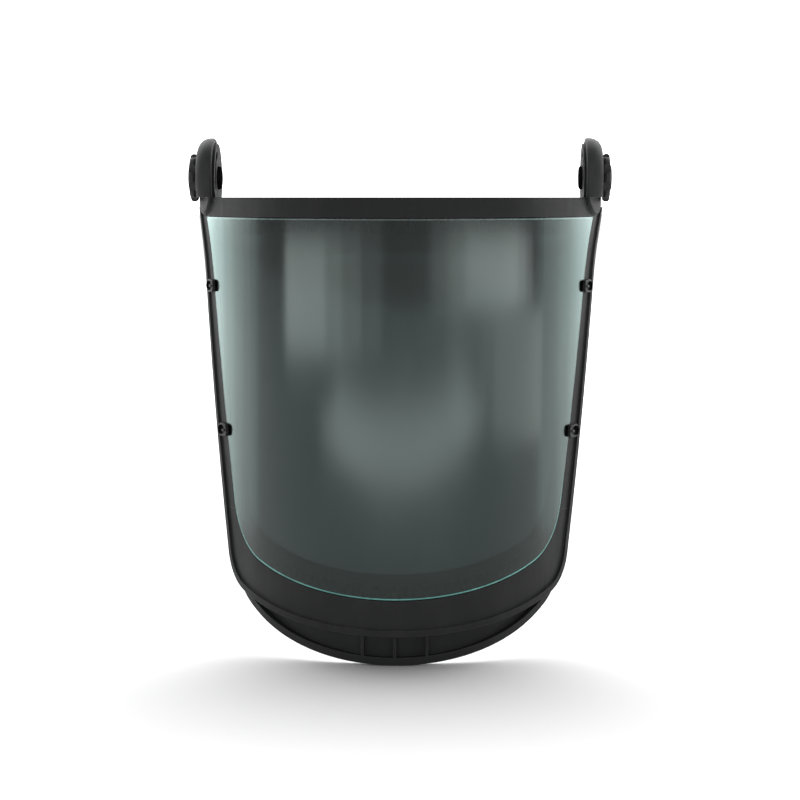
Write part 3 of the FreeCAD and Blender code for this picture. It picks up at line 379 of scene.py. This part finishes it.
def hard_fibre():
    """Pressed red-brown fibre washer with long flecks."""
    shader = Shader("fibre")
    flecks = shader.noise(420, 5, 0.7, shader.stretched((1, 0.25, 1)))
    return shader.finish(shader.mix(shader.remap(flecks, 0.3, 0.7), (0.16, 0.045, 0.02), (0.40, 0.16, 0.08)),
                         shader.remap(flecks, 0.3, 0.7, 0.55, 0.8), shader.bump(flecks, 0.00006, 0.6))


FINISHES = {
    "frame_plastic": moulded("frame_plastic", (0.0105, 0.0108, 0.0112), (0.0150, 0.0154, 0.0159),
                             (0.050, 0.051, 0.053), rough=(0.50, 0.66), grain=2600,
                             grain_depth=0.00005, edge=0.0007, specular=0.2),
    "tinted_polycarbonate": polycarbonate(),
    "gasket_rubber": rubber(),
    "band_plastic": moulded("band_plastic", (0.012, 0.0125, 0.0135), (0.020, 0.0205, 0.022),
                            (0.040, 0.040, 0.042), rough=(0.60, 0.78), grain=1900,
                            grain_depth=0.00006, edge=0.0004, specular=0.12),
    "knob_plastic": moulded("knob_plastic", (0.011, 0.011, 0.0115), (0.017, 0.017, 0.018),
                            (0.045, 0.046, 0.048), rough=(0.44, 0.60), grain=1500,
                            grain_depth=0.00003, edge=0.0005, specular=0.22, coat=0.05),
    "rivet_plastic": moulded("rivet_plastic", (0.028, 0.029, 0.031), (0.046, 0.047, 0.05),
                             (0.11, 0.11, 0.115), rough=(0.35, 0.55), grain=2200,
                             grain_depth=0.00005, edge=0.0003, specular=0.45),
    "gear_plastic": moulded("gear_plastic", (0.62, 0.60, 0.54), (0.74, 0.72, 0.66),
                            (0.82, 0.81, 0.78), rough=(0.35, 0.5), grain=1800,
                            grain_depth=0.00004, edge=0.0002, specular=0.5),
    "foam_fabric": knit("foam_fabric", (0.010, 0.011, 0.012), (0.060, 0.064, 0.070)),
    "fibre": hard_fibre(),
    "steel": metal("steel", (0.007, 0.007, 0.008), (0.016, 0.016, 0.017), rough=(0.46, 0.62),
                   scale=500, grazing=(0.03, 0.03, 0.03, 1)),
    "spring_steel": metal("spring_steel", (0.33, 0.32, 0.30), (0.60, 0.60, 0.60), rough=(0.20, 0.36),
                          scale=700),
    "brass": metal("brass", (0.42, 0.27, 0.09), (0.78, 0.58, 0.26), rough=(0.24, 0.40), scale=600),
}

for node in frame["nodes"].values():
    for place in node.material_slots:
        place.material = FINISHES[place.material.name]


# ---------------------------------------------------------------- pieces
def new_piece(name, bm, material, body):
    """Smooth-shaded object from a bmesh; with a body, it rides on it and takes the slot's finish."""
    mesh = bpy.data.meshes.new(name)
    bmesh.ops.recalc_face_normals(bm, faces=bm.faces)
    bm.to_mesh(mesh)
    bm.free()
    for polygon in mesh.polygons:
        polygon.use_smooth = True
    mesh.materials.append(material)
    piece = bpy.data.objects.new(name, mesh)
    bpy.context.scene.collection.objects.link(piece)
    if body:
        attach(piece, body)
    return piece


def visor_rim(inset):
    """Points (s, z) along the visor's sides and bottom, inset from its edge, from left to right."""
    down = Vector((-SIDE_SLOPE, -1)).normalized()
    out = Vector((1, -SIDE_SLOPE)).normalized()
    hub = Vector((0, VISOR_BOTTOM + VISOR_BOTTOM_RADIUS))
    start = KNEE - out * VISOR_CORNER - hub
    along = start.dot(down)
    run = -along + math.sqrt(along ** 2 - start.dot(start) + (VISOR_BOTTOM_RADIUS - VISOR_CORNER) ** 2)
    centre = hub + start + down * run
    spoke = (centre - hub).normalized()
    corner = VISOR_CORNER - inset
    top = KNEE - out * inset
    right = [top.lerp(centre + out * corner, i / 20) for i in range(20)]
    first, last = math.atan2(out.y, out.x), math.atan2(spoke.y, spoke.x)
    for i in range(24):
        angle = first + (last - first) * i / 24
        right.append(centre + Vector((math.cos(angle), math.sin(angle))) * corner)
    for i in range(40):
        angle = last + (-math.pi / 2 - last) * i / 40
        right.append(hub + Vector((math.cos(angle), math.sin(angle))) * (VISOR_BOTTOM_RADIUS - inset))
    return [(-p.x, p.y) for p in right] + [(0, VISOR_BOTTOM + inset)] + [(p.x, p.y) for p in reversed(right)]


def top_rim(inset):
    """Points (s, z) along the visor's level top edge."""
    return [(VISOR_TOP_REACH * i / 60, VISOR_TOP - inset) for i in range(-60, 61)]


def visor_edge_line(name, rim, material):
    """Thin line of the sheet's bevelled edge, along a rim given as a function of the inset.

    Each point of its section is an inset from the edge and a height over the visor's outer face.
    """
    bm = bmesh.new()
    rows = []
    profile = [(0.05 * MM, -0.9 * MM), (0.0, -0.12 * MM), (0.3 * MM, 0.04 * MM), (0.85 * MM, 0.05 * MM),
               (1.15 * MM, -0.05 * MM), (1.15 * MM, -0.9 * MM)]
    rims = [rim(inset) for inset, _ in profile]
    for i in range(len(rims[0])):
        rows.append([bm.verts.new(face_point(*rims[k][i], profile[k][1])) for k in range(len(profile))])
    count = len(profile)
    for a, b in zip(rows, rows[1:]):
        for k in range(count):
            bm.faces.new((a[k], a[(k + 1) % count], b[(k + 1) % count], b[k]))
    bm.faces.new(rows[0])
    bm.faces.new(list(reversed(rows[-1])))
    return new_piece(name, bm, material, "shield")


def crowned_pad(name, place, columns, rows, seams, hem):
    """Closed pad laid on the ring: flat behind, crowned in front, pinched at hems and seams.

    place(u, v, depth) gives a point for u and v from -1 to 1 and a depth from 0 (back) to 1 (front).
    seams are values of u, and hem holds the hems' widths in u and in v.
    The back, the hems and the seams are in the vertex group "pinned", which stays put in inflate().
    """
    bm = bmesh.new()
    pinned = []

    def swell(u, v):
        """Front depth of the pad at (u, v), before it is inflated."""
        edge = min((1 - abs(v)) / hem[1], (1 - abs(u)) / hem[0])
        if edge <= 1:
            return HEM_DEPTH
        depth = 1 - (1 - min(1, (edge - 1) / 1.6)) ** 2.4
        for seam in seams:
            depth *= 1 - SEAM_PINCH * math.exp(-((u - seam) / (hem[0] * 0.55)) ** 2)
        return HEM_DEPTH + CROWN_DEPTH * depth

    grids = []
    for front in (True, False):
        grid = []
        for i in range(columns + 1):
            u = -1 + 2 * i / columns
            line = []
            for j in range(rows + 1):
                v = -1 + 2 * j / rows
                border = i in (0, columns) or j in (0, rows)
                depth = BORDER_DEPTH if border else (swell(u, v) if front else 0.0)
                if border and not front:
                    line.append(grids[0][i][j])
                    continue
                vertex = bm.verts.new(place(u, v, depth))
                near_seam = any(abs(u - seam) < hem[0] * 0.35 for seam in seams)
                in_hem = abs(v) > 1 - hem[1] or abs(u) > 1 - hem[0]
                pinned.append(not front or border or near_seam or in_hem)
                line.append(vertex)
            grid.append(line)
        grids.append(grid)
    for front, grid in zip((True, False), grids):
        for i in range(columns):
            for j in range(rows):
                corners = [grid[i][j], grid[i + 1][j], grid[i + 1][j + 1], grid[i][j + 1]]
                bm.faces.new(corners if front else corners[::-1])
    piece = new_piece(name, bm, FINISHES["foam_fabric"], None)
    group = piece.vertex_groups.new(name="pinned")
    group.add([i for i, pin in enumerate(pinned) if pin], 1.0, "REPLACE")
    return piece


def inflate(piece, cap):
    """Swell the pad with cloth pressure between its pinned seams, moving no point more than cap."""
    start = [vertex.co.copy() for vertex in piece.data.vertices]
    cloth = piece.modifiers.new("Cloth", "CLOTH")
    cloth.settings.use_pressure = True
    cloth.settings.uniform_pressure_force = 4
    cloth.settings.vertex_group_mass = "pinned"
    cloth.settings.effector_weights.gravity = 0
    cloth.settings.quality = 6
    cloth.settings.tension_stiffness = 8
    cloth.settings.bending_stiffness = 0.3
    cloth.point_cache.frame_start = 1
    cloth.point_cache.frame_end = INFLATE_STEPS
    scene = bpy.context.scene
    for step in range(INFLATE_STEPS):
        scene.frame_set(step + 1)
    swollen = piece.evaluated_get(bpy.context.evaluated_depsgraph_get())
    places = [vertex.co.copy() for vertex in swollen.data.vertices]
    piece.modifiers.remove(cloth)
    scene.frame_set(1)
    for vertex, old, new in zip(piece.data.vertices, start, places):
        move = new - old
        if move.length > cap:
            move *= cap / move.length
        vertex.co = old + move


def smooth_pad(piece, body):
    """One subdivision, applied, and the pad's place in the assembly."""
    divide = piece.modifiers.new("Subdivision", "SUBSURF")
    divide.levels = divide.render_levels = 1
    final = bpy.data.meshes.new_from_object(
        piece.evaluated_get(bpy.context.evaluated_depsgraph_get()))
    piece.modifiers.clear()
    piece.data = final
    piece.vertex_groups.clear()
    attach(piece, body)


def stitches(name, lines, material, body):
    """Rows of short thread stitches; each line is a list of (point, direction, normal)."""
    bm = bmesh.new()
    sides = 6
    rings = (-1.0, -0.75, 0.0, 0.75, 1.0)
    for line in lines:
        for point, direction, normal in line:
            side = direction.cross(normal).normalized()
            loops = []
            for reach in rings:
                radius = THREAD_RADIUS * math.sqrt(max(0.04, 1 - reach ** 2 * 0.92))
                lift = THREAD_RADIUS * 0.9 * (1 - reach ** 2)
                centre = point + direction * STITCH_HALF * reach + normal * lift
                turns = [math.tau * k / sides for k in range(sides)]
                loops.append([bm.verts.new(centre + (side * math.cos(a) + normal * math.sin(a)) * radius)
                              for a in turns])
            for a, b in zip(loops, loops[1:]):
                for k in range(sides):
                    bm.faces.new((a[k], a[(k + 1) % sides], b[(k + 1) % sides], b[k]))
            bm.faces.new(loops[0])
            bm.faces.new(loops[-1][::-1])
    return new_piece(name, bm, material, body)


def sweatband_place(u, v, depth):
    """Forehead pad: on the inner face of the band, a little taller at its middle."""
    ends = abs(u) ** 6
    low = SWEAT_BOTTOM + 0.7 * MM * ends
    high = SWEAT_TOP - 2.6 * MM * ends
    height = low + (high - low) * (v + 1) / 2
    return ring_point(SWEAT_MIDDLE + SWEAT_REACH * u, height, -SWEAT_GAP - PAD_DEPTH * depth)


def nape_place(u, v, depth):
    """Nape pad: on the inner face of the ratchet housing, with rounded ends."""
    pinch = 1 - 0.16 * abs(u) ** 5
    height = NAPE_HALF_HEIGHT * v * pinch
    return ring_point(NAPE_MIDDLE - NAPE_REACH * u, height, -NAPE_GAP - PAD_DEPTH * depth)


def seam_line(place, points, depth):
    """Stitch places along a list of (u, v) points, lying on the pad's front at that depth."""
    line = []
    for (u0, v0), (u1, v1) in zip(points, points[1:]):
        a, b = place(u0, v0, depth), place(u1, v1, depth)
        inside = place((u0 + u1) / 2, (v0 + v1) / 2, depth + 0.2)
        middle = (a + b) / 2
        normal = (inside - middle).normalized()
        line.append((middle, (b - a).normalized(), normal))
    return line


def hem_lines(place, count, limit):
    """Stitch places along both long hems of a pad."""
    us = [-limit + 2 * limit * i / count for i in range(count + 1)]
    return [seam_line(place, [(u, v) for u in us], STITCH_DEPTH) for v in (-HEM_LEVEL, HEM_LEVEL)]


sweatband = crowned_pad("sweatband_pad", sweatband_place, 96, 12, SWEAT_SEAMS, (0.028, 0.2))
nape = crowned_pad("nape_cushion", nape_place, 28, 14, NAPE_SEAMS, (0.10, 0.2))
inflate(sweatband, PAD_SWELL)
inflate(nape, PAD_SWELL)
smooth_pad(sweatband, "headgear")
smooth_pad(nape, "headgear")
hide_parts("sweatband")
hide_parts("nape_pad")
seam_thread = thread()
stitches("sweatband_stitches", hem_lines(sweatband_place, 84, 0.97), seam_thread, "headgear")
stitches("nape_stitches", hem_lines(nape_place, 21, 0.9), seam_thread, "headgear")
# material with a painted glow for the visor's edge lines
edge_material = painted_glow_edge()
edge_lines = [visor_edge_line("visor_edge_line", visor_rim, edge_material),
              visor_edge_line("visor_top_line", top_rim, edge_material)]


# ---------------------------------------------------------------- stage, light and camera
def stage_floor():
    """Plain pale floor just under the object."""
    bm = bmesh.new()
    level = CAD_BOX[0][2] - FLOOR_GAP
    corners = ((-1, -1), (1, -1), (1, 1), (-1, 1))
    bm.faces.new([bm.verts.new((x * FLOOR_REACH, y * FLOOR_REACH, level)) for x, y in corners])
    shader = Shader("floor")
    mottle = shader.noise(3, 2)
    colour = shader.mix(mottle, (0.86, 0.86, 0.86), (0.89, 0.89, 0.89))
    material = shader.finish(colour, shader.remap(mottle, 0, 1, 0.8, 0.95))
    new_piece("floor", bm, material, None)


def area_light(name, place, target, width, height, radiance, colour=(1, 1, 1)):
    """Soft box that faces the target and isn't itself in the picture."""
    data = bpy.data.lights.new(name, "AREA")
    data.shape = "RECTANGLE"
    data.size, data.size_y = width, height
    data.energy = radiance * math.pi * width * height
    data.color = colour
    light = bpy.data.objects.new(name, data)
    light.location = place
    light.rotation_euler = (Vector(target) - Vector(place)).to_track_quat("-Z", "Y").to_euler()
    light.visible_camera = False
    light.visible_transmission = False
    bpy.context.scene.collection.objects.link(light)
    return light


def lit_only(name, pieces):
    """Collection of the pieces that a light shines on."""
    group = bpy.data.collections.new(name)
    for piece in pieces:
        group.objects.link(piece)
    return group


def strip_light(name, receivers, hub, distance, azimuths, level, height, radiance, tint=(1, 1, 1)):
    """Upright strip light that spans two azimuths round a hub, shining on its receivers alone."""
    turns = [math.radians(azimuth) for azimuth in azimuths]
    ends = [hub + Vector((math.sin(turn), -math.cos(turn))) * distance for turn in turns]
    middle = (ends[0] + ends[1]) / 2
    light = area_light(name, (middle.x, middle.y, level), (hub.x, hub.y, level),
                       (ends[0] - ends[1]).length, height, radiance, tint)
    light.light_linking.receiver_collection = receivers


def side_boxes(sheet):
    """Strip lights for the visor alone, stepped so that each side brightens towards the back."""
    for side, name in ((-1, "left"), (1, "right")):
        hub = Vector((side * SIDE_HUB.x, SIDE_HUB.y))
        for step, (start, radiance) in enumerate(SIDE_STEPS):
            strip_light(f"side_box_{name}_{step}", sheet, hub, SIDE_DISTANCE,
                        (side * start, side * SIDE_END), SIDE_LEVEL, SIDE_HEIGHT, radiance, SIDE_TINT)


def front_cards(sheet):
    """Soft panels in front of the visor that show in it as paler patches."""
    for step, (azimuths, level, height, radiance) in enumerate(FRONT_CARDS):
        strip_light(f"front_card_{step}", sheet, CARD_HUB, CARD_DISTANCE, azimuths, level, height, radiance)
    above = (LOW_CARD_PLACE[0], LOW_CARD_PLACE[1], 1.0)
    for step, (width, depth) in enumerate(LOW_CARDS):
        low = area_light(f"low_card_{step}", LOW_CARD_PLACE, above, width, depth, LOW_CARD_RADIANCE)
        low.light_linking.receiver_collection = sheet


def fill_light(name, receivers, place, target, width, height, radiance):
    """Area light for some pieces alone, which doesn't show in their gloss."""
    fill = area_light(name, place, target, width, height, radiance)
    fill.visible_glossy = False
    fill.light_linking.receiver_collection = receivers


def frame_fills():
    """Soft light on the frame and headgear from both sides, on the chin, and on the ears."""
    nodes = frame["nodes"]
    solid = lit_only("lit_frame", [node for name, node in nodes.items() if name != "visor"])
    sides = ((-1, "left"), (1, "right"))
    for side, name in sides:
        fill_light(f"fill_{name}", solid, (side * 1.1, -0.2, 0.3), (side * 0.12, -0.05, 0.03),
                   width=0.8, height=0.8, radiance=FILL_RADIANCE)
    fill_light("fill_low", solid, (0, -0.40, -0.205), (0, -0.15, -0.205),
               width=0.32, height=0.05, radiance=CHIN_RADIANCE)
    ears = lit_only("lit_ears", [nodes[f"{part}_{name}"]
                                 for part in ("side_arm", "clamp_knob") for _, name in sides])
    for side, name in sides:
        fill_light(f"fill_ear_{name}", ears, (side * 0.15, -0.18, 0.09), (side * 0.125, -0.02, 0.05),
                   width=0.08, height=0.08, radiance=EAR_RADIANCE)


def world_light():
    """Studio surround: dim in front of the object, bright behind it, and plain white in the picture."""
    world = bpy.data.worlds.new("studio")
    world.use_nodes = True
    nodes, links = world.node_tree.nodes, world.node_tree.links
    background = nodes["Background"]
    background.inputs["Color"].default_value = (1, 1, 1, 1)
    direction = nodes.new("ShaderNodeTexCoord")
    split = nodes.new("ShaderNodeSeparateXYZ")
    ramp = nodes.new("ShaderNodeMapRange")
    ramp.interpolation_type = "SMOOTHSTEP"
    limits = (("From Min", 0.0), ("From Max", 0.62), ("To Min", WORLD_FRONT), ("To Max", WORLD_BACK))
    for key, value in limits:
        ramp.inputs[key].default_value = value
    links.new(direction.outputs["Generated"], split.inputs["Vector"])
    links.new(split.outputs["Y"], ramp.inputs["Value"])
    path = nodes.new("ShaderNodeLightPath")
    strength = nodes.new("ShaderNodeMapRange")
    links.new(path.outputs["Is Camera Ray"], strength.inputs["Value"])
    links.new(ramp.outputs["Result"], strength.inputs["To Min"])
    strength.inputs["To Max"].default_value = WORLD_BACK
    links.new(strength.outputs["Result"], background.inputs["Strength"])
    bpy.context.scene.world = world


def camera():
    """Camera in front of the visor, level with the brow bar, looking a little down."""
    data = bpy.data.cameras.new("camera")
    data.lens = LENS
    data.sensor_width = 36
    data.clip_end = 100
    eye = bpy.data.objects.new("camera", data)
    eye.location = EYE
    eye.rotation_euler = (math.radians(90 - EYE_DOWN), 0, math.radians(EYE_LEFT))
    bpy.context.scene.collection.objects.link(eye)
    bpy.context.scene.camera = eye


stage_floor()
world_light()
area_light("floor_light", (0, 2.6, 2.4), (0, 2.6, -0.2), width=6.0, height=3.0, radiance=3.5)
visor_sheet = lit_only("lit_sheet", [frame["nodes"]["visor"], *edge_lines])
side_boxes(visor_sheet)
front_cards(visor_sheet)
frame_fills()
camera()
bpy.context.scene.view_settings.view_transform = "Standard"
